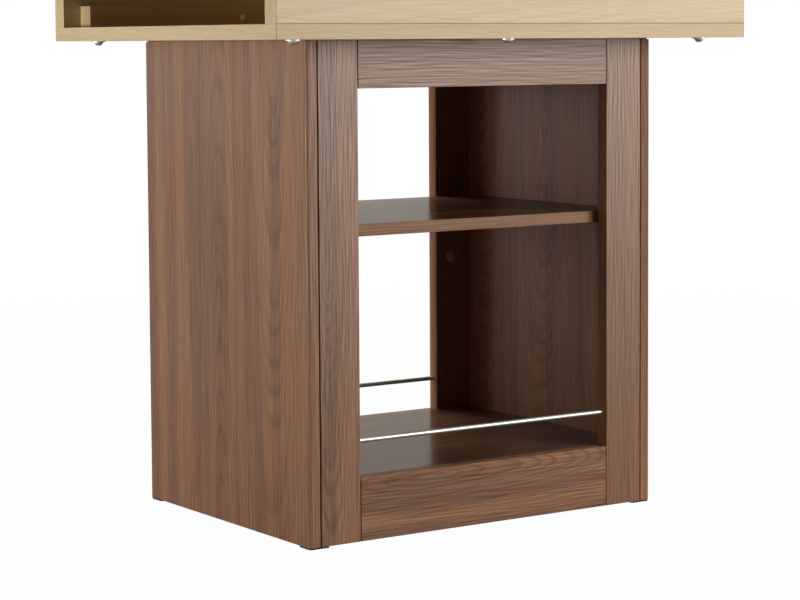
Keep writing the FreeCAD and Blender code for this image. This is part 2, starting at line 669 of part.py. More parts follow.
def dowel_form():
    """Make a dowel with tapered tips along local X, with its middle at zero."""
    barrel = "(dowel_length / 2 - dowel_tip_length)"
    return fused("dowel_form", [
        rod("dowel_barrel", "x", "dowel_diameter", f"2 * {barrel}", x=f"-{barrel}"),
        cone("dowel_high_tip", "x", "dowel_diameter", "dowel_tip_diameter", "dowel_tip_length", x=barrel),
        cone("dowel_low_tip", "x", "dowel_tip_diameter", "dowel_diameter", "dowel_tip_length",
             x="-dowel_length / 2"),
    ])


def screw_form():
    """Make a round-headed wood screw along local X, with the underside of its head at zero."""
    return fused("screw_form", [
        rod("screw_head", "x", "screw_head_diameter", "screw_head_height", x="-screw_head_height"),
        rod("screw_shank", "x", "screw_diameter", SCREW_LENGTH),
    ])


def apron_bolt_form():
    """Make a button-headed bolt that points up, with its head's washer seat at zero."""
    shank = rod("apron_bolt_shank", "z", "apron_bolt_diameter", APRON_BOLT_LENGTH)
    ball = doc.addObject("Part::Sphere", "apron_bolt_ball")
    bind(ball, "Radius", APRON_BOLT_DOME)
    place(ball, z=f"{APRON_BOLT_DOME} - apron_bolt_head_height")
    above_seat = block("apron_bolt_above_seat", middle_span(APRON_BOLT_DOME), middle_span(APRON_BOLT_DOME),
                       ("0", f"(2 * {APRON_BOLT_DOME})"))
    head = cut("apron_bolt_head", ball, above_seat)
    socket = doc.addObject("Part::Prism", "apron_bolt_socket")
    socket.Polygon = 6
    bind(socket, "Circumradius", "apron_bolt_socket_width / 3 ^ 0.5")
    bind(socket, "Height", "apron_bolt_socket_depth")
    place(socket, z="-apron_bolt_head_height")
    return cut("apron_bolt_form", fused("apron_bolt_blank", [shank, head]), socket)


def washer_form():
    """Make the flange washer of an apron bolt, hanging below zero."""
    disc = rod("washer_disc", "z", "washer_diameter", "washer_thickness", z="-washer_thickness")
    hole = rod("washer_hole", "z", APRON_BOLT_BORE, "washer_thickness", z="-washer_thickness")
    return cut("washer_form", disc, hole)


def make_fittings():
    """Set every group of fittings in its bores."""
    x, y, z = AXES["x"], AXES["y"], AXES["z"]
    straight = FreeCAD.Rotation()
    upright = aimed(z, x)
    lock, bolt, screw, dowel = cam_lock_form(), cam_bolt_form(), screw_form(), dowel_form()
    corners = [(side, face) for side in BOTH for face in BOTH]

    group("stile_cam_locks", lock, [
        (aimed(x * side, y * -face), (on_side(side, STILE_CAM_PLACE), on_side(face, FRAME_BACK), level))
        for side, face in corners for level in CAM_LEVELS])
    group("stile_cam_bolts", bolt, [
        (aimed(x * -side, z), (on_side(side, PANEL_FACE), on_side(face, STILE_BOLT_LINE), level))
        for side, face in corners for level in CAM_LEVELS])
    group("floor_cam_locks", lock, [
        (aimed(x * side, -z), (on_side(side, STILE_CAM_PLACE), on_side(face, FLOOR_CAM_PLACE), FLOOR_BASE))
        for side, face in corners])
    group("floor_cam_bolts", bolt, [
        (aimed(x * -side, z), (on_side(side, PANEL_FACE), on_side(face, FLOOR_CAM_PLACE), FLOOR_BOLT_LINE))
        for side, face in corners])
    group("tabletop_cam_locks", lock, [
        (aimed(z, y * -face), (*spot, APRON_CAM_LEVEL))
        for face in BOTH for spot in top_cam_spots(face, APRON_BACK)])
    group("tabletop_cam_bolts", bolt, [
        (aimed(-z, x), (*spot, TOP_UNDERSIDE))
        for face in BOTH for spot in top_cam_spots(face, APRON_BOLT_LINE)])

    group("rail_dowels", dowel, [
        (straight, (on_side(side, OPENING_EDGE), on_side(face, FRAME_MIDDLE), level))
        for side, face in corners for level in DOWEL_RAIL_LEVELS])
    box_spots = [(*spot, BOX_FLOOR_TOP) for face in BOTH for spot in apron_dowel_spots(face)]
    box_spots += [(*spot, level)
                  for spot in partition_dowel_spots() for level in (BOX_FLOOR_TOP, TOP_UNDERSIDE)]
    group("top_box_dowels", dowel, [(upright, spot) for spot in box_spots])

    group("cleat_screws", screw, [
        (aimed(x * side, z), (on_side(side, CLEAT_FACE), on_side(face, CLEAT_SCREW_PLACE), CLEAT_LEVEL))
        for side, face in corners])
    group("top_fixing_screws", screw, [
        (upright, (on_side(side, CLEAT_LINE), on_side(face, CLEAT_UPRIGHT_PLACE), CLEAT_BASE))
        for side, face in corners])
    group("batten_screws", screw, [
        (aimed(y * face, z), (on_side(side, BATTEN_SCREW_PLACE), on_side(face, BATTEN_FACE), BATTEN_LEVEL))
        for side, face in corners])

    below_washer = f"({UNDERSIDE} - washer_thickness)"
    spots = apron_bolt_spots()
    group("apron_bolts", apron_bolt_form(), [(straight, (*spot, below_washer)) for spot in spots])
    group("apron_bolt_washers", washer_form(), [(straight, (*spot, UNDERSIDE)) for spot in spots])


def make_cabinet():
    """Make the carcass, shelf, rods and feet."""
    for side_name, side in SIDES:
        make_side_panel(side_name, side)
        make_top_cleat(f"{side_name}_top_cleat", side)
    for face_name, face in FACES:
        make_rail(f"{face_name}_top_rail", face, (TOP_RAIL_BASE, UNDERSIDE), DOWEL_RAIL_LEVELS[2:])
        make_rail(f"{face_name}_bottom_rail", face, ("foot_thickness", FLOOR_TOP), DOWEL_RAIL_LEVELS[:2])
        make_guard_rod(f"{face_name}_guard_rod", face)
        for side_name, side in SIDES:
            corner = f"{face_name}_{side_name}"
            make_stile(f"{corner}_stile", side, face)
            make_foot_pad(f"{corner}_foot_pad", side, face)
            make_shelf_pin(f"{corner}_shelf_pin", side, face)
    make_cabinet_floor()
    make_shelf()


def make_top_box():
    """Make the box that carries the table top."""
    make_box_floor()
    for face_name, face in FACES:
        make_apron(f"{face_name}_apron_board", face)
        make_apron_batten(f"{face_name}_apron_batten", face)
    make_partition()
    make_tabletop()


def check_document():
    """Stop if an object failed, a cut took nothing away or a piece isn't a sound solid."""
    for item in doc.Objects:
        if {"Invalid", "Error"} & set(item.State):
            raise RuntimeError(f"{item.Name} failed: {item.State}")
        if item.TypeId == "PartDesign::Pocket" and item.Shape.Volume >= item.BaseFeature.Shape.Volume:
            raise RuntimeError(f"{item.Name} cuts nothing")
    for node in nodes:
        if node.Shape.isNull() or not node.Shape.isValid() or not node.Shape.Solids:
            raise RuntimeError(f"{node.Label} is not a sound solid")


def write_parts():
    """Write each piece to its own file."""
    os.makedirs("parts", exist_ok=True)
    for node in nodes:
        node.Shape.exportStep(os.path.join("parts", f"{node.Label}.step"))
        print(f"{node.Label}: {len(node.Shape.Solids)} solid(s), {node.Shape.Volume:.0f} mm3")


fill_sheet()
make_cabinet()
make_top_box()
make_fittings()
doc.recompute()
check_document()
write_parts()
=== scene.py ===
"""Dress the kitchen table in its finishes, light it and set the photograph's view.

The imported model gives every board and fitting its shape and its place. This script gives each of them a
procedural finish, builds the studio round them, and places the camera where the photograph was taken.
"""

from __future__ import annotations

import logging
import math
from dataclasses import dataclass, replace
from enum import Enum
from typing import ClassVar, Union

import bpy
from mathutils import Matrix, Vector


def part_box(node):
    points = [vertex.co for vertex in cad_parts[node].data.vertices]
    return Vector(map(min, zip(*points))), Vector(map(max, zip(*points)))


LOG = logging.getLogger("kitchen_table")

Triple = tuple[float, float, float]
Colour = tuple[float, float, float]
Signal = Union[bpy.types.NodeSocket, float, int, tuple]
Signals = dict[str, Signal]
Sockets = dict[str, bpy.types.NodeSocket]

SIDES = ("left", "right")
FACES = ("front", "back")
WHITE: Colour = (1.0, 1.0, 1.0)

# What the soft patterns swing about
MIDDLE = 0.5

# A length in metres that no board reaches, and the length of the long fibres
FAR = 10.0
LONG_FIBRE = 0.055

# The curve between a colour on a screen and the light that it stands for
SCREEN_TOP = 255.0
TOE_END = 0.04045
TOE_SLOPE = 12.92
CURVE_LIFT = 0.055
CURVE_POWER = 2.4


class Axis(Enum):
    """The three directions of the table, each as its unit vector."""

    LENGTH = (1.0, 0.0, 0.0)
    DEPTH = (0.0, 1.0, 0.0)
    HEIGHT = (0.0, 0.0, 1.0)


class Kind(Enum):
    """The kinds of socket that an effect takes and gives."""

    VALUE = "NodeSocketFloat"
    VECTOR = "NodeSocketVector"
    COLOUR = "NodeSocketColor"


def from_screen(red: int, green: int, blue: int) -> Colour:
    """Turn a colour as a screen shows it into the linear colour that a shader takes.

    Args:
        red: Red from 0 to 255.
        green: Green from 0 to 255.
        blue: Blue from 0 to 255.

    Returns:
        The linear colour, each part from 0 to 1.
    """
    def linear(part: int) -> float:
        """Undo the screen's curve for one part of the colour."""
        share = part / SCREEN_TOP
        if share <= TOE_END:
            return share / TOE_SLOPE
        return ((share + CURVE_LIFT) / (1.0 + CURVE_LIFT)) ** CURVE_POWER

    return linear(red), linear(green), linear(blue)


@dataclass(frozen=True)
class Pattern:
    """A soft random pattern.

    Attributes:
        stretch: How many times finer it is along each direction.
        detail: How many finer octaves are added.
        offset: How far it is moved, so that patterns differ.
    """

    stretch: Triple
    detail: float = 1.0
    offset: Triple = (0.0, 0.0, 0.0)


class Wiring:
    """Adds nodes to a tree and joins them, so that a material reads like a sum."""

    spacing: ClassVar[float] = 40.0
    # A mix node has sockets for each kind: these are the share and the two that it mixes
    value_mix: ClassVar[tuple[int, int, int]] = (0, 2, 3)
    colour_mix: ClassVar[tuple[int, int, int]] = (0, 6, 7)
    colour_result: ClassVar[int] = 2

    def __init__(self, tree: bpy.types.NodeTree) -> None:
        """Keep the tree that the nodes go into."""
        self.tree = tree

    def node(self, kind: str, **settings: object) -> bpy.types.Node:
        """Add a node.

        Args:
            kind: The node's type name.
            **settings: Properties to set on it.

        Returns:
            The new node.
        """
        made = self.tree.nodes.new(kind)
        made.location = (len(self.tree.nodes) * self.spacing, 0.0)
        for name, value in settings.items():
            setattr(made, name, value)
        return made

    def feed(self, socket: bpy.types.NodeSocket, signal: Signal) -> None:
        """Join a signal to a socket, or set the socket where the signal is a plain value."""
        if isinstance(signal, bpy.types.NodeSocket):
            self.tree.links.new(signal, socket)
        elif isinstance(signal, tuple) and len(signal) == 3 and socket.type == "RGBA":
            socket.default_value = (*signal, 1.0)
        else:
            socket.default_value = signal

    def maths(self, operation: str, *terms: Signal) -> bpy.types.NodeSocket:
        """Work out one sum of values.

        Args:
            operation: The sum's name, such as ADD.
            *terms: What goes into it.

        Returns:
            The result.
        """
        made = self.node("ShaderNodeMath", operation=operation)
        for socket, term in zip(made.inputs, terms):
            self.feed(socket, term)
        return made.outputs[0]

    def vector(self, operation: str, *terms: Signal) -> bpy.types.NodeSocket:
        """Work out one sum of vectors.

        Args:
            operation: The sum's name, such as MULTIPLY.
            *terms: What goes into it.

        Returns:
            The result: a value for a dot product, and a vector otherwise.
        """
        made = self.node("ShaderNodeVectorMath", operation=operation)
        for socket, term in zip(made.inputs, terms):
            self.feed(socket, term)
        return made.outputs[1 if operation == "DOT_PRODUCT" else 0]

    def scale(self, vector: Signal, factor: Signal) -> bpy.types.NodeSocket:
        """Make a vector or a colour a number of times larger."""
        made = self.node("ShaderNodeVectorMath", operation="SCALE")
        self.feed(made.inputs[0], vector)
        self.feed(made.inputs["Scale"], factor)
        return made.outputs[0]

    def combine(self, x: Signal, y: Signal, z: Signal) -> bpy.types.NodeSocket:
        """Make a vector of three values."""
        made = self.node("ShaderNodeCombineXYZ")
        for socket, part in zip(made.inputs, (x, y, z)):
            self.feed(socket, part)
        return made.outputs[0]

    def parts(self, vector: Signal) -> tuple[bpy.types.NodeSocket, ...]:
        """Take a vector apart into its three values."""
        made = self.node("ShaderNodeSeparateXYZ")
        self.feed(made.inputs[0], vector)
        return tuple(made.outputs)

    def noise(self, place: Signal, pattern: Pattern) -> bpy.types.NodeSocket:
        """Read a soft random pattern at a place.

        Args:
            place: Where to read it.
            pattern: What to read.

        Returns:
            A value about 0.5.
        """
        made = self.node("ShaderNodeTexNoise", noise_dimensions="3D")
        made.inputs["Scale"].default_value = 1.0
        made.inputs["Detail"].default_value = pattern.detail
        moved = self.vector("ADD", place, pattern.offset)
        self.feed(made.inputs["Vector"], self.vector("MULTIPLY", moved, pattern.stretch))
        return made.outputs[0]

    def relief(self, height: Signal, strength: float, distance: float) -> bpy.types.NodeSocket:
        """Turn a height into the normals of a fine relief.

        Args:
            height: The height, from 0 to 1.
            strength: How much of the relief shows, from 0 to 1.
            distance: How high it stands, in metres.

        Returns:
            The normals.
        """
        made = self.node("ShaderNodeBump")
        made.inputs["Strength"].default_value = strength
        made.inputs["Distance"].default_value = distance
        self.feed(made.inputs["Height"], height)
        return made.outputs[0]

    def step(self, value: Signal, low: Signal, high: Signal) -> bpy.types.NodeSocket:
        """Turn a value into a mask that rises smoothly from 0 at low to 1 at high."""
        made = self.node("ShaderNodeMapRange", interpolation_type="SMOOTHSTEP")
        for name, signal in (("Value", value), ("From Min", low), ("From Max", high)):
            self.feed(made.inputs[name], signal)
        return made.outputs[0]

    def blend(self, share: Signal, first: Signal, second: Signal) -> bpy.types.NodeSocket:
        """Mix two values by a share of the second."""
        made = self.node("ShaderNodeMix", data_type="FLOAT")
        for index, signal in zip(self.value_mix, (share, first, second)):
            self.feed(made.inputs[index], signal)
        return made.outputs[0]

    def tint(self, share: Signal, first: Signal, second: Signal) -> bpy.types.NodeSocket:
        """Mix two colours by a share of the second."""
        made = self.node("ShaderNodeMix", data_type="RGBA")
        for index, signal in zip(self.colour_mix, (share, first, second)):
            self.feed(made.inputs[index], signal)
        return made.outputs[self.colour_result]


@dataclass(frozen=True)
class Port:
    """One named way into or out of an effect."""

    name: str
    kind: Kind = Kind.VALUE


class Effect:
    """A shader node group, built once and placed in each material with its own values."""

    title: ClassVar[str] = ""
    takes: ClassVar[tuple[Port, ...]] = ()
    gives: ClassVar[tuple[Port, ...]] = ()

    @classmethod
    def wire(cls, wiring: Wiring, taken: Sockets) -> Signals:
        """Make the group's inside.

        Args:
            wiring: The group's own tree.
            taken: The group's inputs by name.

        Returns:
            What each named output gives.
        """
        raise NotImplementedError

    @classmethod
    def tree(cls) -> bpy.types.NodeTree:
        """Give the group's tree, and build it the first time."""
        found = bpy.data.node_groups.get(cls.title)
        if found is not None:
            return found
        made = bpy.data.node_groups.new(cls.title, "ShaderNodeTree")
        for port in cls.takes:
            made.interface.new_socket(port.name, in_out="INPUT", socket_type=port.kind.value)
        for port in cls.gives:
            made.interface.new_socket(port.name, in_out="OUTPUT", socket_type=port.kind.value)
        wiring = Wiring(made)
        source = wiring.node("NodeGroupInput")
        signals = cls.wire(wiring, {port.name: source.outputs[port.name] for port in cls.takes})
        result = wiring.node("NodeGroupOutput")
        for name, signal in signals.items():
            wiring.feed(result.inputs[name], signal)
        return made

    @classmethod
    def place(cls, wiring: Wiring, **signals: Signal) -> Sockets:
        """Put the group in a tree.

        Args:
            wiring: The tree that it goes into.
            **signals: Its inputs, with underscores for the spaces in their names.

        Returns:
            Its outputs by name.
        """
        made = wiring.node("ShaderNodeGroup", node_tree=cls.tree())
        for name, signal in signals.items():
            wiring.feed(made.inputs[name.replace("_", " ")], signal)
        return {port.name: made.outputs[port.name] for port in cls.gives}


class BoardPlace(Effect):
    """Says how far along and across the grain a point of a board lies, and where its banded edges are."""

    title = "board place"
    takes = (Port("Point", Kind.VECTOR), Port("Facing", Kind.VECTOR), Port("Grain", Kind.VECTOR),
             Port("Width", Kind.VECTOR), Port("Shift", Kind.VECTOR))
    gives = (Port("Place", Kind.VECTOR), Port("Edge"))
    end_facing: ClassVar[float] = 0.7
    edge_facing: ClassVar[tuple[float, float]] = (0.4, 0.6)
    end_seed: ClassVar[float] = 3.7

    @classmethod
    def wire(cls, wiring: Wiring, taken: Sockets) -> Signals:
        """Measure along the grain, and along the banding on a board's ends."""
        thickness = wiring.vector("CROSS_PRODUCT", taken["Grain"], taken["Width"])
        grain = wiring.vector("DOT_PRODUCT", taken["Point"], taken["Grain"])
        width = wiring.vector("DOT_PRODUCT", taken["Point"], taken["Width"])
        depth = wiring.vector("DOT_PRODUCT", taken["Point"], thickness)
        turned = wiring.maths("ABSOLUTE", wiring.vector("DOT_PRODUCT", taken["Facing"], taken["Grain"]))
        end = wiring.maths("GREATER_THAN", turned, cls.end_facing)
        along = wiring.blend(end, grain, width)
        across = wiring.blend(end, wiring.maths("ADD", width, depth), wiring.maths("ADD", depth, grain))
        place = wiring.combine(along, across, wiring.maths("MULTIPLY", end, cls.end_seed))
        level = wiring.maths("ABSOLUTE", wiring.vector("DOT_PRODUCT", taken["Facing"], thickness))
        edge = wiring.maths("SUBTRACT", 1.0, wiring.step(level, *cls.edge_facing))
        return {"Place": wiring.vector("ADD", place, taken["Shift"]), "Edge": edge}


class GrowthRings(Effect):
    """Draws the growth rings of a flat-sawn board: straight lines beside two columns of nested arches."""

    title = "growth rings"
    takes = (Port("Place", Kind.VECTOR), Port("First Heart", Kind.VECTOR), Port("Second Heart", Kind.VECTOR),
             Port("Swell"), Port("Ring Width"), Port("Waver"))
    gives = (Port("Late Wood"), Port("Ring Tone"))
    heart_reach: ClassVar[tuple[float, float]] = (0.010, 0.040)
    straight_share: ClassVar[float] = 0.35
    late_rise: ClassVar[tuple[float, float]] = (0.40, 0.80)
    late_fall: ClassVar[tuple[float, float]] = (0.80, 1.0)
    sway: ClassVar[Pattern] = Pattern((6.0, 24.0, 1.0), 3.0)
    swell: ClassVar[Pattern] = Pattern((5.2, 3.0, 1.7))
    uneven: ClassVar[Pattern] = Pattern((0.31, 1.0, 1.0))
    uneven_rings: ClassVar[float] = 2.6
    tone: ClassVar[Pattern] = Pattern((0.37, 1.0, 1.0), 0.0, (0.0, 0.0, 0.5))

    @classmethod
    def wire(cls, wiring: Wiring, taken: Sockets) -> Signals:
        """Cut the distance from the heart lines into rings that are plainest over the hearts."""
        along, across, seed = wiring.parts(taken["Place"])
        sway = wiring.maths("SUBTRACT", wiring.noise(taken["Place"], cls.sway), MIDDLE)
        swell = wiring.maths("SUBTRACT", wiring.noise(taken["Place"], cls.swell), MIDDLE)
        place = wiring.maths("MULTIPLY_ADD", sway, taken["Waver"], across)
        swell = wiring.maths("MULTIPLY", swell, taken["Swell"])
        hearts = [wiring.parts(taken[name]) for name in ("First Heart", "Second Heart")]
        first, second = (cls.distance(wiring, place, along, swell, heart) for heart in hearts)
        lines = [heart[0] for heart in hearts]
        span = wiring.maths("SUBTRACT", lines[1], lines[0])
        share = wiring.step(place, *lines)
        reach = wiring.blend(share, first, wiring.maths("SUBTRACT", span, second))
        count = wiring.maths("DIVIDE", reach, taken["Ring Width"])
        uneven = wiring.noise(wiring.combine(count, seed, 0.0), cls.uneven)
        count = wiring.maths("MULTIPLY_ADD", uneven, cls.uneven_rings, count)
        part = wiring.maths("FRACT", count)
        rise = wiring.step(part, *cls.late_rise)
        fall = wiring.step(part, *cls.late_fall)
        late = wiring.maths("MULTIPLY", rise, wiring.maths("SUBTRACT", 1.0, fall))
        aside = wiring.maths("MINIMUM", *(
            wiring.maths("ABSOLUTE", wiring.maths("SUBTRACT", place, line)) for line in lines))
        plain = wiring.blend(wiring.step(aside, *cls.heart_reach), 1.0, cls.straight_share)
        late = wiring.maths("MULTIPLY", late, plain)
        ring = wiring.maths("FLOOR", count)
        tone = wiring.noise(wiring.combine(ring, seed, 0.0), cls.tone)
        return {"Late Wood": late, "Ring Tone": tone}

    @staticmethod
    def distance(wiring: Wiring, across: Signal, along: Signal, swell: Signal,
                 heart: tuple[bpy.types.NodeSocket, ...]) -> bpy.types.NodeSocket:
        """Give the distance of a point of the face from a heart line that rises or sinks under it.

        Args:
            wiring: The tree that the sum goes into.
            across: How far across the grain the point lies.
            along: How far along the grain it lies.
            swell: How far the heart line bulges towards the face there.
            heart: Where the heart line lies across the face, its depth, and how fast it rises.

        Returns:
            The distance.
        """
        line, depth, taper = heart
        off = wiring.maths("SUBTRACT", across, line)
        under = wiring.maths("SUBTRACT", depth, wiring.maths("MULTIPLY_ADD", along, taper, swell))
        square = wiring.maths("MULTIPLY_ADD", off, off, wiring.maths("MULTIPLY", under, under))
        return wiring.maths("SQRT", square)


class GrainStreaks(Effect):
    """Draws a wood's broad bands, streaks, fine fibres and pores along the grain."""

    title = "grain streaks"
    takes = (Port("Place", Kind.VECTOR), Port("Fibre Run"))
    gives = (Port("Bands"), Port("Streaks"), Port("Fibres"), Port("Pores"))
    ripple: ClassVar[Pattern] = Pattern((13.0, 26.0, 1.0))
    ripple_reach: ClassVar[float] = 0.003
    bands: ClassVar[Pattern] = Pattern((1.6, 40.0, 1.3), 0.6)
    streaks: ClassVar[Pattern] = Pattern((14.0, 220.0, 1.0), 1.0, (0.0, 0.0, 1.9))
    fibre_seed: ClassVar[float] = 2.7
    fibre_gap: ClassVar[float] = 0.002
    fibre_swing: ClassVar[float] = 0.7
    fibres: ClassVar[Pattern] = Pattern((1.0, 500.0, 1.0), 0.0, (0.0, 0.0, fibre_seed))
    beside: ClassVar[Pattern] = replace(fibres, offset=(0.0, fibre_gap, fibre_seed))
    dashes: ClassVar[Pattern] = Pattern((30.0, 1500.0, 1.0), 0.0, (0.0, 0.0, 4.1))
    pore_step: ClassVar[tuple[float, float]] = (0.60, 0.74)

    @classmethod
    def wire(cls, wiring: Wiring, taken: Sockets) -> Signals:
        """Stretch four noises along the rippled grain, each finer than the last."""
        ripple = wiring.maths("SUBTRACT", wiring.noise(taken["Place"], cls.ripple), MIDDLE)
        bend = wiring.combine(0.0, wiring.maths("MULTIPLY", ripple, cls.ripple_reach), 0.0)
        place = wiring.vector("ADD", taken["Place"], bend)
        along, across, seed = wiring.parts(place)
        drawn = wiring.combine(wiring.maths("DIVIDE", along, taken["Fibre Run"]), across, seed)
        here, beside = (wiring.noise(drawn, pattern) for pattern in (cls.fibres, cls.beside))
        rise = wiring.maths("SUBTRACT", here, beside)
        return {
            "Bands": wiring.noise(place, cls.bands),
            "Streaks": wiring.noise(place, cls.streaks),
            "Fibres": wiring.maths("MULTIPLY_ADD", rise, cls.fibre_swing, MIDDLE),
            "Pores": wiring.step(wiring.noise(place, cls.dashes), *cls.pore_step),
        }


class SurfaceHaze(Effect):
    """Gives the slow change of gloss that handling and wiping leave on any surface."""

    title = "surface haze"
    takes = (Port("Point", Kind.VECTOR), Port("Clean"), Port("Hazy"))
    gives = (Port("Gloss"),)
    clouds: ClassVar[Pattern] = Pattern((9.0, 9.0, 9.0), 3.0)
    cloud_step: ClassVar[tuple[float, float]] = (0.30, 0.70)

    @classmethod
    def wire(cls, wiring: Wiring, taken: Sockets) -> Signals:
        """Move between two roughnesses by a cloudy noise."""
        share = wiring.step(wiring.noise(taken["Point"], cls.clouds), *cls.cloud_step)
        return {"Gloss": wiring.blend(share, taken["Clean"], taken["Hazy"])}


class WoodFigure(Effect):
    """Colours a board from its rings and streaks, and gives the relief of its open grain."""

    title = "wood figure"
    takes = (Port("Place", Kind.VECTOR), Port("Late Wood"), Port("Ring Tone"), Port("Fibre Run"),
             Port("Warm", Kind.COLOUR), Port("Grey", Kind.COLOUR), Port("Dark", Kind.COLOUR),
             Port("Ring Share"), Port("Tone Share"), Port("Streak Share"), Port("Fibre Share"),
             Port("Pore Share"))
    gives = (Port("Colour", Kind.COLOUR), Port("Relief"), Port("Sheen"))
    band_step: ClassVar[tuple[float, float]] = (0.34, 0.66)
    sheen_swing: ClassVar[float] = 2.4

    @classmethod
    def wire(cls, wiring: Wiring, taken: Sockets) -> Signals:
        """Lay bands of two tones, then rings, streaks, fibres and pores over them."""
        streaks = GrainStreaks.place(wiring, Place=taken["Place"], Fibre_Run=taken["Fibre Run"])
        bands = wiring.step(streaks["Bands"], *cls.band_step)
        colour = wiring.tint(bands, taken["Warm"], taken["Grey"])
        level = cls.swing(wiring, streaks["Streaks"], taken["Streak Share"], 1.0)
        level = cls.swing(wiring, streaks["Fibres"], taken["Fibre Share"], level)
        level = cls.swing(wiring, taken["Ring Tone"], taken["Tone Share"], level)
        colour = wiring.scale(colour, level)
        rings = wiring.maths("MULTIPLY", taken["Late Wood"], taken["Ring Share"])
        colour = wiring.tint(rings, colour, taken["Dark"])
        pores = wiring.maths("MULTIPLY", streaks["Pores"], taken["Pore Share"])
        colour = wiring.tint(pores, colour, taken["Dark"])
        relief = wiring.maths("SUBTRACT", streaks["Fibres"], pores)
        lines = wiring.maths("MULTIPLY", taken["Fibre Share"], cls.sheen_swing)
        sheen = wiring.maths("MAXIMUM", cls.swing(wiring, streaks["Fibres"], lines, 1.0), 0.0)
        return {"Colour": colour, "Relief": relief, "Sheen": sheen}

    @staticmethod
    def swing(wiring: Wiring, noise: Signal, share: Signal, level: Signal) -> bpy.types.NodeSocket:
        """Make a level brighter and darker with a noise about 0.5."""
        about = wiring.maths("SUBTRACT", noise, MIDDLE)
        return wiring.maths("MULTIPLY_ADD", about, share, level)


class BandSeams(Effect):
    """Marks the fine dark seams where the banding of a board's ends and lower edge meets its face."""

    title = "band seams"
    takes = (Port("Point", Kind.VECTOR), Port("Facing", Kind.VECTOR), Port("Grain", Kind.VECTOR),
             Port("Width", Kind.VECTOR), Port("Half Length"), Port("Lower Edge"))
    gives = (Port("Seam"),)
    seam: ClassVar[tuple[float, float]] = (0.0008, 0.0016)
    face_turn: ClassVar[float] = 0.5

    @classmethod
    def wire(cls, wiring: Wiring, taken: Sockets) -> Signals:
        """Measure how far a point of the face lies from the ends and from the lower edge."""
        along = wiring.maths("ABSOLUTE", wiring.vector("DOT_PRODUCT", taken["Point"], taken["Grain"]))
        from_end = wiring.maths("SUBTRACT", taken["Half Length"], along)
        across = wiring.vector("DOT_PRODUCT", taken["Point"], taken["Width"])
        from_edge = wiring.maths("ABSOLUTE", wiring.maths("SUBTRACT", across, taken["Lower Edge"]))
        away = wiring.step(wiring.maths("MINIMUM", from_end, from_edge), *cls.seam)
        turned = wiring.maths("ABSOLUTE", wiring.vector("DOT_PRODUCT", taken["Facing"], taken["Grain"]))
        face = wiring.maths("LESS_THAN", turned, cls.face_turn)
        return {"Seam": wiring.maths("MULTIPLY", face, wiring.maths("SUBTRACT", 1.0, away))}


class MetalSurface(Effect):
    """Gives a plated metal its brush lines, small dull spots and slight change of tint."""

    title = "metal surface"
    takes = (Port("Point", Kind.VECTOR), Port("Stretch", Kind.VECTOR), Port("Bright", Kind.COLOUR),
             Port("Dull", Kind.COLOUR), Port("Smooth"), Port("Rough"))
    gives = (Port("Colour", Kind.COLOUR), Port("Gloss"), Port("Relief"))
    brush: ClassVar[Pattern] = Pattern((1.0, 1.0, 1.0), 2.0)
    brush_step: ClassVar[tuple[float, float]] = (0.3, 0.7)
    spots: ClassVar[Pattern] = Pattern((160.0, 160.0, 160.0), 3.0)
    spot_step: ClassVar[tuple[float, float]] = (0.52, 0.72)
    spot_tint: ClassVar[float] = 0.6
    spot_haze: ClassVar[float] = 0.08

    @classmethod
    def wire(cls, wiring: Wiring, taken: Sockets) -> Signals:
        """Draw brush lines along the stretched direction, with dull spots over them."""
        drawn = wiring.vector("MULTIPLY", taken["Point"], taken["Stretch"])
        lines = wiring.noise(drawn, cls.brush)
        spots = wiring.step(wiring.noise(taken["Point"], cls.spots), *cls.spot_step)
        dull = wiring.maths("MULTIPLY", spots, cls.spot_tint)
        colour = wiring.tint(dull, taken["Bright"], taken["Dull"])
        gloss = wiring.blend(wiring.step(lines, *cls.brush_step), taken["Smooth"], taken["Rough"])
        gloss = wiring.maths("MULTIPLY_ADD", spots, cls.spot_haze, gloss)
        return {"Colour": colour, "Gloss": gloss, "Relief": lines}


def new_material(name: str) -> tuple[bpy.types.Material, Wiring, bpy.types.Node]:
    """Start a material.

    Args:
        name: The material's name.

    Returns:
        The material, its wiring, and its principled shader.
    """
    material = bpy.data.materials.new(name)
    material.use_nodes = True
    wiring = Wiring(material.node_tree)
    shader = material.node_tree.nodes["Principled BSDF"]
    return material, wiring, shader


@dataclass(frozen=True)
class Heart:
    """A heart line of the tree, in metres.

    Attributes:
        across: Where it lay across the board.
        depth: How deep it lay under the face.
        taper: How far it rose for each metre along the grain.
    """

    across: float
    depth: float = 0.045
    taper: float = 0.07

    def vector(self) -> Triple:
        """Give the three as the vector that the rings take."""
        return self.across, self.depth, self.taper


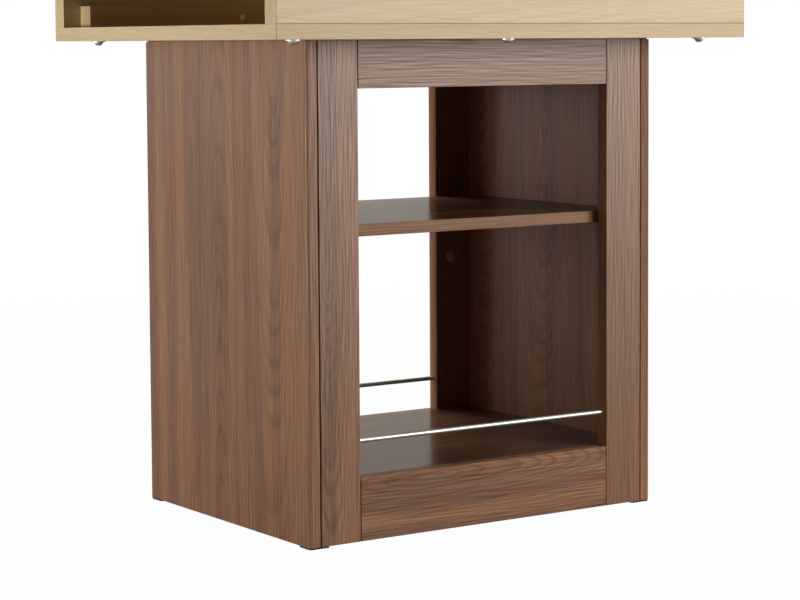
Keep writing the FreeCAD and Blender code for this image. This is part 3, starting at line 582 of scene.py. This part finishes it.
@dataclass(frozen=True)
class BoardLay:
    """How one board was cut, and how it differs from its finish. Lengths are metres.

    Attributes:
        grain: The way that its grain runs.
        width: The way across the grain on its face.
        shift: What is added along the grain, across it and between patterns.
        hearts: The two heart lines, with nested arches over them.
        swell: How far the heart lines bulge towards the face.
        ring_width: The width of a growth ring.
        waver: How far the rings sway across the grain.
        tone: How bright it is, in times its finish; on the cabinet's decks it is also painted shade, and on
            its right side panel painted light.
        painted_edge_light: How bright its edges are, in times its face: painted light and painted shade,
            which brighten edges that lie in shade and dim edges that the lamps light strongly.
        figure: How strong its rings, bands and streaks are, in times its finish.
        fibre: How strong its fibres are, in times its finish.
        fibre_run: How long its fibres are.
        coat: How much sheen its face has.
        edge_coat: How much sheen its edges have.
        coat_blur: How blurred its sheen is, in times its finish.
        half_length: How far its banded ends lie from the middle.
        lower_edge: Where its banded lower edge lies.
    """

    grain: Axis
    width: Axis
    shift: Triple = (0.0, 0.0, 0.0)
    hearts: tuple[Heart, Heart] = (Heart(-0.5), Heart(0.5))
    swell: float = 0.012
    ring_width: float = 0.0036
    waver: float = 0.006
    tone: float = 1.0
    painted_edge_light: float = 1.0
    figure: float = 1.0
    fibre: float = 1.0
    fibre_run: float = 0.025
    coat: float = 0.5
    edge_coat: float = 0.1
    coat_blur: float = 1.0
    half_length: float = FAR
    lower_edge: float = FAR

    def moved(self, across: float = 0.0, seed: float = 0.0) -> BoardLay:
        """Give the same lay with its pattern moved.

        Args:
            across: How far it is moved across the grain.
            seed: How far it is moved between patterns.

        Returns:
            The moved lay.
        """
        along, old_across, old_seed = self.shift
        return replace(self, shift=(along, old_across + across, old_seed + seed))


@dataclass(frozen=True)
class WoodFinish:
    """A wood or wood-coloured board.

    Attributes:
        name: The finish's name.
        warm: The tone of the warm bands.
        grey: The tone of the bands between them.
        dark: The tone of late wood, pores and seams.
        ring_share: How dark the late wood is, from 0 to 1.
        tone_share: How far the rings differ in brightness.
        streak_share: How strong the streaks are.
        fibre_share: How strong the fibres are.
        pore_share: How dark the pores are, from 0 to 1.
        clean: The roughness of clean places.
        hazy: The roughness of hazy places.
        relief: How much of the open grain's relief shows, from 0 to 1.
        relief_depth: How high that relief stands, in metres.
        coat_roughness: The roughness of the sheen.
        seam_share: How dark the seams of the banding are, from 0 to 1.
    """

    name: str
    warm: Colour
    grey: Colour
    dark: Colour
    ring_share: float
    tone_share: float
    streak_share: float
    fibre_share: float
    pore_share: float
    clean: float
    hazy: float
    relief: float
    relief_depth: float
    coat_roughness: float
    seam_share: float = 0.75

    def material(self, node: str, lay: BoardLay) -> bpy.types.Material:
        """Make the finish for one board.

        Args:
            node: The board's name.
            lay: The way that the board was cut.

        Returns:
            The board's material.
        """
        material, wiring, shader = new_material(f"{self.name} {node}")
        tones = (self.warm, self.grey, self.dark)
        # The board's tone, which on some boards also holds painted shade or painted light
        warm, grey, dark = (tuple(part * lay.tone for part in tone) for tone in tones)
        grey = tuple(calm + (part - calm) * lay.figure for calm, part in zip(warm, grey))
        where = wiring.node("ShaderNodeTexCoord")
        point, facing = where.outputs["Object"], where.outputs["Normal"]
        grain, width = lay.grain.value, lay.width.value
        spot = BoardPlace.place(wiring, Point=point, Facing=facing, Grain=grain, Width=width, Shift=lay.shift)
        first, second = (heart.vector() for heart in lay.hearts)
        rings = GrowthRings.place(
            wiring, Place=spot["Place"], First_Heart=first, Second_Heart=second, Swell=lay.swell,
            Ring_Width=lay.ring_width, Waver=lay.waver)
        figure = WoodFigure.place(
            wiring, Place=spot["Place"], Late_Wood=rings["Late Wood"], Ring_Tone=rings["Ring Tone"],
            Fibre_Run=lay.fibre_run, Warm=warm, Grey=grey, Dark=dark,
            Ring_Share=self.ring_share * lay.figure, Tone_Share=self.tone_share * lay.figure,
            Streak_Share=self.streak_share * lay.figure, Fibre_Share=self.fibre_share * lay.fibre,
            Pore_Share=self.pore_share)
        seams = BandSeams.place(
            wiring, Point=point, Facing=facing, Grain=grain, Width=width, Half_Length=lay.half_length,
            Lower_Edge=lay.lower_edge)["Seam"]
        colour = wiring.tint(wiring.maths("MULTIPLY", seams, self.seam_share), figure["Colour"], dark)
        # Painted light and shade: the edges are made brighter or darker than the face by painted_edge_light,
        # for how the lamps fall on them.
        colour = wiring.scale(colour, wiring.blend(spot["Edge"], 1.0, lay.painted_edge_light))
        gloss = SurfaceHaze.place(wiring, Point=point, Clean=self.clean, Hazy=self.hazy)["Gloss"]
        coat = wiring.blend(spot["Edge"], lay.coat, lay.edge_coat)
        normal = wiring.relief(figure["Relief"], self.relief, self.relief_depth)
        shader.inputs["Specular IOR Level"].default_value = 0.0
        shader.inputs["Coat Roughness"].default_value = self.coat_roughness * lay.coat_blur
        wiring.feed(shader.inputs["Base Color"], colour)
        wiring.feed(shader.inputs["Roughness"], gloss)
        wiring.feed(shader.inputs["Coat Weight"], wiring.maths("MULTIPLY", figure["Sheen"], coat))
        wiring.feed(shader.inputs["Normal"], normal)
        wiring.feed(shader.inputs["Coat Normal"], normal)
        return material


@dataclass(frozen=True)
class MetalFinish:
    """A plated metal.

    Attributes:
        name: The finish's name.
        bright: Its tint.
        dull: The tint of its dull spots.
        smooth: The least roughness of the brush lines.
        rough: The greatest roughness of the brush lines.
        stretch: How fine the brush lines are along each direction.
        relief: How much of their relief shows, from 0 to 1.
        relief_depth: How high that relief stands, in metres.
    """

    name: str
    bright: Colour
    dull: Colour
    smooth: float
    rough: float
    stretch: Triple
    relief: float
    relief_depth: float = 0.00004

    def material(self) -> bpy.types.Material:
        """Make the finish, which all the pieces of one plating share."""
        material, wiring, shader = new_material(self.name)
        where = wiring.node("ShaderNodeTexCoord")
        surface = MetalSurface.place(
            wiring, Point=where.outputs["Object"], Stretch=self.stretch, Bright=self.bright, Dull=self.dull,
            Smooth=self.smooth, Rough=self.rough)
        normal = wiring.relief(surface["Relief"], self.relief, self.relief_depth)
        shader.inputs["Metallic"].default_value = 1.0
        wiring.feed(shader.inputs["Base Color"], surface["Colour"])
        wiring.feed(shader.inputs["Roughness"], surface["Gloss"])
        wiring.feed(shader.inputs["Normal"], normal)
        return material


@dataclass(frozen=True)
class PlasticFinish:
    """A moulded plastic with a fine spark-eroded grain.

    Attributes:
        name: The finish's name.
        deep: Its colour.
        pale: The colour of its scuffs.
        clean: The roughness of clean places.
        hazy: The roughness of hazy places.
        specular: How strongly it reflects.
        relief: How much of the grain's relief shows, from 0 to 1.
        relief_depth: How high that relief stands, in metres.
        grain: The pattern of the grain.
        scuffs: The pattern of the scuffs.
        scuff_step: Where in that pattern a scuff begins, and where it is full.
    """

    name: str
    deep: Colour
    pale: Colour
    clean: float
    hazy: float
    specular: float = 0.1
    relief: float = 0.4
    relief_depth: float = 0.0001
    grain: Pattern = Pattern((900.0, 900.0, 900.0), 2.0)
    scuffs: Pattern = Pattern((70.0, 70.0, 70.0), 3.0)
    scuff_step: tuple[float, float] = (0.5, 0.75)

    def material(self) -> bpy.types.Material:
        """Make the finish, which all the pads share."""
        material, wiring, shader = new_material(self.name)
        point = wiring.node("ShaderNodeTexCoord").outputs["Object"]
        scuffs = wiring.step(wiring.noise(point, self.scuffs), *self.scuff_step)
        gloss = SurfaceHaze.place(wiring, Point=point, Clean=self.clean, Hazy=self.hazy)["Gloss"]
        normal = wiring.relief(wiring.noise(point, self.grain), self.relief, self.relief_depth)
        shader.inputs["Specular IOR Level"].default_value = self.specular
        wiring.feed(shader.inputs["Base Color"], wiring.tint(scuffs, self.deep, self.pale))
        wiring.feed(shader.inputs["Roughness"], gloss)
        wiring.feed(shader.inputs["Normal"], normal)
        return material


WALNUT = WoodFinish("walnut", from_screen(141, 102, 76), from_screen(122, 89, 70), from_screen(84, 62, 48),
                    ring_share=0.36, tone_share=0.26, streak_share=0.46, fibre_share=0.64, pore_share=0.16,
                    clean=0.50, hazy=0.60, relief=0.16, relief_depth=0.0003, coat_roughness=0.32)
OAK = WoodFinish("light oak", from_screen(205, 181, 140), from_screen(200, 178, 140),
                 from_screen(162, 132, 84), ring_share=0.16, tone_share=0.16, streak_share=0.16,
                 fibre_share=0.14, pore_share=0.12, clean=0.50, hazy=0.58, relief=0.2, relief_depth=0.0003,
                 coat_roughness=0.45)
PINE = WoodFinish("pine", from_screen(220, 184, 132), from_screen(226, 198, 150), from_screen(176, 124, 72),
                  ring_share=0.5, tone_share=0.16, streak_share=0.16, fibre_share=0.12, pore_share=0.0,
                  clean=0.58, hazy=0.68, relief=0.2, relief_depth=0.0002, coat_roughness=0.6)
BEECH = WoodFinish("beech", from_screen(222, 188, 144), from_screen(214, 176, 132), from_screen(164, 118, 78),
                   ring_share=0.2, tone_share=0.14, streak_share=0.14, fibre_share=0.16, pore_share=0.4,
                   clean=0.6, hazy=0.7, relief=0.2, relief_depth=0.0002, coat_roughness=0.6)
NICKEL = MetalFinish("satin nickel", (0.46, 0.45, 0.42), (0.38, 0.37, 0.345), smooth=0.44, rough=0.52,
                     stretch=(30.0, 2400.0, 2400.0), relief=0.3)
ZINC = MetalFinish("cast zinc", (0.30, 0.285, 0.26), (0.20, 0.19, 0.175), smooth=0.42, rough=0.58,
                   stretch=(900.0, 900.0, 900.0), relief=0.6)
STEEL = MetalFinish("bright zinc plate", (0.68, 0.66, 0.58), (0.50, 0.48, 0.40), smooth=0.34, rough=0.44,
                    stretch=(400.0, 400.0, 1600.0), relief=0.3)
PAD_PLASTIC = PlasticFinish("moulded pad plastic", (0.012, 0.011, 0.010), (0.035, 0.033, 0.031),
                            clean=0.45, hazy=0.6)


def dress(node: str, material: bpy.types.Material) -> None:
    """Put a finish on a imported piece.

    Args:
        node: The piece's name.
        material: The finish.
    """
    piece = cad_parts[node]
    if not piece.material_slots:
        piece.data.materials.append(material)
    for slot in piece.material_slots:
        slot.material = material
    LOG.info("dressed %s in %s", node, material.name)


@dataclass
class PedestalCabinet:
    """The walnut cabinet under the table, open at the front and the back."""

    # Painted light: the panel's edges are brightened a little (painted_edge_light) for the sheen their matt
    # banding lacks.
    panel: BoardLay = BoardLay(
        Axis.HEIGHT, Axis.DEPTH, (0.0, 0.0, 0.3), (Heart(-0.128, 0.075, 0.072), Heart(0.012, 0.02, -0.06)),
        tone=1.03, painted_edge_light=1.16, fibre=1.1, fibre_run=LONG_FIBRE, coat=0.34, edge_coat=0.26)
    # Painted light: the stiles' side faces, which lie in shade beside the openings, are brightened
    # (painted_edge_light).
    stile: BoardLay = BoardLay(
        Axis.HEIGHT, Axis.LENGTH, (0.0, 0.0, 1.1), tone=0.88, painted_edge_light=2.1, figure=0.4,
        fibre_run=LONG_FIBRE, coat=0.38, edge_coat=0.06)
    rail: BoardLay = BoardLay(
        Axis.LENGTH, Axis.HEIGHT, (0.5, 0.0, 2.3), (Heart(0.3), Heart(0.9, 0.06)), tone=0.86, figure=0.4,
        fibre_run=LONG_FIBRE, coat=0.38)
    # Painted shade: the decks' tops are darkened (tone 0.66) for the shade inside the cabinet, and their
    # lamp-lit front edges brought back up (painted_edge_light).
    deck: BoardLay = BoardLay(
        Axis.LENGTH, Axis.DEPTH, (0.0, 0.0, 5.2), tone=0.66, painted_edge_light=1.36, fibre=0.6, fibre_run=LONG_FIBRE,
        coat=0.43, edge_coat=0.16, coat_blur=0.6)
    right_step: float = 0.6
    board_step: float = 0.83

    def cuts(self) -> dict[str, BoardLay]:
        """Give the way that each board of the cabinet was cut."""
        # Each pattern is moved by the place of a face, so that its hearts are measured on that face
        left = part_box("left_side_panel")[0][0]
        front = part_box("front_left_stile")[0][1]
        stile = self.stile.moved(-front)
        rail = self.rail.moved(front)
        cuts = {f"{face}_{side}_stile": stile for face in FACES for side in SIDES}
        cuts.update({f"{face}_{level}_rail": rail for face in FACES for level in ("top", "bottom")})
        cuts["left_side_panel"] = self.panel.moved(left)
        # Painted light: the right panel's inner face, in shade inside the cabinet, is brightened (tone 1.7),
        # and its lamp-lit front edge is dimmed (painted_edge_light 0.7).
        cuts["right_side_panel"] = replace(
            self.panel.moved(-left, self.right_step), tone=1.7, painted_edge_light=0.7, coat=0.44, edge_coat=0.06,
            hearts=(Heart(0.02, 0.078, 0.115), Heart(0.17, 0.1, 0.115)))
        # Painted light: this stile's shaded side faces are brightened too (painted_edge_light).
        cuts["front_left_stile"] = replace(
            stile, hearts=(Heart(-0.236, 0.036, 0.06), Heart(-0.1, 0.06, 0.05)), ring_width=0.0024,
            tone=1.06, painted_edge_light=1.5, figure=1.1)
        # Painted light: this rail's unlit top face is brightened (painted_edge_light).
        cuts["front_bottom_rail"] = replace(
            rail, hearts=(Heart(0.072, 0.052, 0.12), Heart(0.4, 0.068, 0.12)), tone=1.21, painted_edge_light=1.4,
            figure=1.3, fibre=1.5, coat=0.1, edge_coat=0.25)
        cuts["back_bottom_rail"] = replace(rail, edge_coat=self.deck.coat, coat_blur=self.deck.coat_blur)
        cuts["cabinet_floor"] = self.deck
        cuts["middle_shelf"] = self.deck
        return cuts

    def dress(self) -> None:
        """Give each board of the cabinet its own cut of walnut."""
        for count, (node, lay) in enumerate(self.cuts().items()):
            dress(node, WALNUT.material(node, lay.moved(seed=self.board_step * count)))


@dataclass
class TopBox:
    """The light oak box that carries the table's top, open at both ends."""

    deck: BoardLay = BoardLay(Axis.LENGTH, Axis.DEPTH, (0.0, 0.3, 0.0), ring_width=0.006, edge_coat=0.28)
    apron: BoardLay = BoardLay(Axis.LENGTH, Axis.HEIGHT, (0.0, -0.4, 1.0), ring_width=0.006, coat=0.6)
    partition: BoardLay = BoardLay(Axis.DEPTH, Axis.HEIGHT, (0.0, -0.2, 2.0), ring_width=0.006)
    batten: BoardLay = BoardLay(Axis.LENGTH, Axis.HEIGHT, (0.0, -0.6, 4.0), ring_width=0.004, tone=0.75)
    cleat: BoardLay = BoardLay(Axis.DEPTH, Axis.HEIGHT, (0.0, -0.6, 6.0), ring_width=0.004)

    def dress(self) -> None:
        """Give the box its oak boards, and the timbers inside it their pine."""
        low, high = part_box("front_apron_board")
        deck = replace(self.deck, half_length=high[0])
        apron = replace(self.apron, half_length=high[0], lower_edge=low[2])
        for node, lay in (("top_box_floor", deck), ("tabletop_panel", deck), ("front_apron_board", apron),
                          ("back_apron_board", apron), ("centre_partition", self.partition)):
            dress(node, OAK.material(node, lay))
        for face in FACES:
            dress(f"{face}_apron_batten", PINE.material(f"{face}_apron_batten", self.batten))
        for side in SIDES:
            dress(f"{side}_top_cleat", PINE.material(f"{side}_top_cleat", self.cleat))


@dataclass
class Fittings:
    """The rods, pins, pads, dowels, cams, bolts and screws."""

    dowel: BoardLay = BoardLay(Axis.LENGTH, Axis.DEPTH, (0.0, 0.0, 3.0), ring_width=0.003)
    peg: BoardLay = BoardLay(Axis.HEIGHT, Axis.DEPTH, (0.0, 0.0, 5.0), ring_width=0.003)

    def dress(self) -> None:
        """Give each group of fittings its plating, wood or plastic."""
        dress("rail_dowels", BEECH.material("rail_dowels", self.dowel))
        dress("top_box_dowels", BEECH.material("top_box_dowels", self.peg))
        nickel, zinc, steel, plastic = (finish.material() for finish in (NICKEL, ZINC, STEEL, PAD_PLASTIC))
        corners = [f"{face}_{side}" for face in FACES for side in SIDES]
        for node in [f"{face}_guard_rod" for face in FACES] + [f"{corner}_shelf_pin" for corner in corners]:
            dress(node, nickel)
        for group in ("stile", "floor", "tabletop"):
            dress(f"{group}_cam_locks", zinc)
            dress(f"{group}_cam_bolts", steel)
        for node in ("cleat_screws", "top_fixing_screws", "batten_screws", "apron_bolts",
                     "apron_bolt_washers"):
            dress(node, steel)
        for corner in corners:
            dress(f"{corner}_foot_pad", plastic)


@dataclass(frozen=True)
class Softbox:
    """A large soft lamp: its place, what it faces, its size in metres and its power in watts."""

    name: str
    place: Triple
    target: Triple
    width: float
    height: float
    power: float

    def build(self) -> None:
        """Hang the lamp and turn it to what it lights."""
        lamp = bpy.data.lights.new(self.name, "AREA")
        lamp.shape = "RECTANGLE"
        lamp.size = self.width
        lamp.size_y = self.height
        lamp.energy = self.power
        holder = bpy.data.objects.new(self.name, lamp)
        holder.location = self.place
        aim = Vector(self.target) - Vector(self.place)
        holder.rotation_euler = aim.to_track_quat("-Z", "Y").to_euler()
        bpy.context.scene.collection.objects.link(holder)


@dataclass
class Studio:
    """The white studio: its floor, lamps and camera. Lengths are metres, and turns are degrees.

    Attributes:
        floor_reach: How far the floor reaches from the middle.
        floor_sides: How many sides its outline has.
        floor_grey: The colour that the lamps light.
        floor_roughness: Its roughness.
        floor_white: How white it looks near the table, where the rest keeps the shadow.
        floor_fade: Where it turns fully white.
        floor_gloss: Where it turns fully white in reflections.
        ambient: How much the world lights the table.
        reflected: The world's tint in reflections.
        softboxes: The lamps.
        image_width: The photograph's width in pixels.
        sensor: The width of the camera's sensor in millimetres.
        focal_pixels: The focal length in the photograph's pixels.
        shift: How far the lens is shifted, in widths of the picture.
        eye: Where the camera stands.
        yaw: How far it is turned towards the table's length.
        pitch: How far it looks down.
        roll: How far it is tilted.
    """

    floor_reach: float = 4.0
    floor_sides: int = 64
    floor_grey: Colour = (0.17, 0.17, 0.17)
    floor_roughness: float = 0.9
    floor_white: float = 0.98
    floor_fade: tuple[float, float] = (0.8, 3.2)
    floor_gloss: tuple[float, float] = (0.3, 2.6)
    ambient: float = 0.028
    reflected: Colour = (1.0, 0.95, 0.85)
    softboxes: tuple[Softbox, ...] = (
        Softbox("front softbox", (3.0, -4.4, 1.15), (0.0, -0.2, 0.9), 2.8, 2.1, 268.0),
        Softbox("side softbox", (-3.2, 0.24, 0.31), (-0.26, 0.0, 0.36), 0.2, 0.6, 58.0),
        Softbox("rear left softbox", (-2.0, 2.4, 0.95), (0.1, 0.0, 0.35), 1.6, 1.2, 11.0),
        Softbox("overhead softbox", (0.0, 0.2, 3.2), (0.0, 0.0, 0.7), 2.4, 2.4, 36.0),
        Softbox("rear softbox", (0.4, 2.4, 3.0), (0.0, 0.2, 0.45), 1.6, 1.6, 70.0),
    )
    image_width: float = 800.0
    sensor: float = 36.0
    focal_pixels: float = 2361.6
    shift: float = -0.1
    eye: Triple = (-1.7433, -2.5857, 0.6107)
    yaw: float = 34.062
    pitch: float = 4.333
    roll: float = -0.35

    def build(self) -> None:
        """Set up the whole studio."""
        bpy.context.scene.view_settings.view_transform = "Standard"
        self.build_world()
        self.build_floor()
        for softbox in self.softboxes:
            softbox.build()
        self.build_camera()
        LOG.info("studio is set with %d softboxes", len(self.softboxes))

    @staticmethod
    def seen(wiring: Wiring) -> bpy.types.NodeSocket:
        """Give 1 where the camera sees a surface, itself or in a gloss or through glass."""
        path = wiring.node("ShaderNodeLightPath")
        shown = wiring.maths("MAXIMUM", path.outputs["Is Camera Ray"], path.outputs["Is Glossy Ray"])
        return wiring.maths("MAXIMUM", shown, path.outputs["Is Transmission Ray"])

    def build_world(self) -> None:
        """Make a world that looks white and lights the table only a little."""
        world = bpy.data.worlds.new("white studio")
        world.use_nodes = True
        bpy.context.scene.world = world
        wiring = Wiring(world.node_tree)
        ground = world.node_tree.nodes["Background"]
        path = wiring.node("ShaderNodeLightPath")
        wiring.feed(ground.inputs["Color"], wiring.tint(path.outputs["Is Glossy Ray"], WHITE, self.reflected))
        wiring.feed(ground.inputs["Strength"], wiring.blend(self.seen(wiring), self.ambient, 1.0))

    def build_floor(self) -> None:
        """Lay a round white floor that keeps a faint shadow of the table and is clear from below."""
        points = [(self.floor_reach * math.cos(turn), self.floor_reach * math.sin(turn), 0.0)
                  for turn in (2.0 * math.pi * step / self.floor_sides for step in range(self.floor_sides))]
        mesh = bpy.data.meshes.new("studio_floor")
        mesh.from_pydata(points, [], [tuple(range(self.floor_sides))])
        floor = bpy.data.objects.new("studio_floor", mesh)
        bpy.context.scene.collection.objects.link(floor)
        material, wiring, shader = new_material("white floor")
        wiring.feed(shader.inputs["Base Color"], self.floor_grey)
        shader.inputs["Roughness"].default_value = self.floor_roughness
        glow = wiring.node("ShaderNodeEmission")
        mixed = wiring.node("ShaderNodeMixShader")
        where = wiring.node("ShaderNodeTexCoord")
        away = wiring.node("ShaderNodeVectorMath", operation="LENGTH")
        wiring.feed(away.inputs[0], where.outputs["Object"])
        white = wiring.blend(wiring.step(away.outputs["Value"], *self.floor_fade), self.floor_white, 1.0)
        path = wiring.node("ShaderNodeLightPath")
        white = wiring.blend(path.outputs["Is Glossy Ray"], white,
                             wiring.step(away.outputs["Value"], *self.floor_gloss))
        wiring.feed(mixed.inputs[0], wiring.maths("MULTIPLY", self.seen(wiring), white))
        wiring.feed(mixed.inputs[1], shader.outputs[0])
        wiring.feed(mixed.inputs[2], glow.outputs[0])
        one_sided = wiring.node("ShaderNodeMixShader")
        wiring.feed(one_sided.inputs[0], wiring.node("ShaderNodeNewGeometry").outputs["Backfacing"])
        wiring.feed(one_sided.inputs[1], mixed.outputs[0])
        wiring.feed(one_sided.inputs[2], wiring.node("ShaderNodeBsdfTransparent").outputs[0])
        wiring.feed(material.node_tree.nodes["Material Output"].inputs["Surface"], one_sided.outputs[0])
        mesh.materials.append(material)

    def build_camera(self) -> None:
        """Stand the camera where the photograph was taken."""
        lens = bpy.data.cameras.new("photograph")
        lens.sensor_width = self.sensor
        lens.lens = self.focal_pixels * self.sensor / self.image_width
        lens.shift_y = self.shift
        yaw, pitch, roll = (math.radians(turn) for turn in (self.yaw, self.pitch, self.roll))
        level = Vector((math.sin(yaw), math.cos(yaw), 0.0))
        side = Vector((math.cos(yaw), -math.sin(yaw), 0.0))
        rise = Vector((0.0, 0.0, 1.0))
        ahead = level * math.cos(pitch) - rise * math.sin(pitch)
        over = level * math.sin(pitch) + rise * math.cos(pitch)
        right = side * math.cos(roll) + over * math.sin(roll)
        up = over * math.cos(roll) - side * math.sin(roll)
        camera = bpy.data.objects.new("photograph", lens)
        turn = Matrix((right, up, -ahead)).transposed().to_4x4()
        camera.matrix_world = Matrix.Translation(Vector(self.eye)) @ turn
        bpy.context.scene.collection.objects.link(camera)
        bpy.context.scene.camera = camera


def plain(box: object) -> list[list[float]]:
    """Turn a box's corners into plain lists of numbers."""
    return [[float(part) for part in corner] for corner in box]


def main() -> None:
    """Build the studio and dress each sub-assembly."""
    logging.basicConfig(level=logging.INFO, format="%(name)s: %(message)s")
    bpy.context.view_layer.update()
    Studio().build()
    for assembly in (PedestalCabinet(), TopBox(), Fittings()):
        assembly.dress()


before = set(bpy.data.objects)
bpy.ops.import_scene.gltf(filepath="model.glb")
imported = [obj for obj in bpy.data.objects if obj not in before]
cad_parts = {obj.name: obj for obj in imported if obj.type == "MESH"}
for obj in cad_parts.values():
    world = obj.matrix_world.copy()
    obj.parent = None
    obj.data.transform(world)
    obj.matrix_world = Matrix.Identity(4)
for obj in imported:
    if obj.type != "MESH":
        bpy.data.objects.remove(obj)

if __name__ == "__main__":
    main()
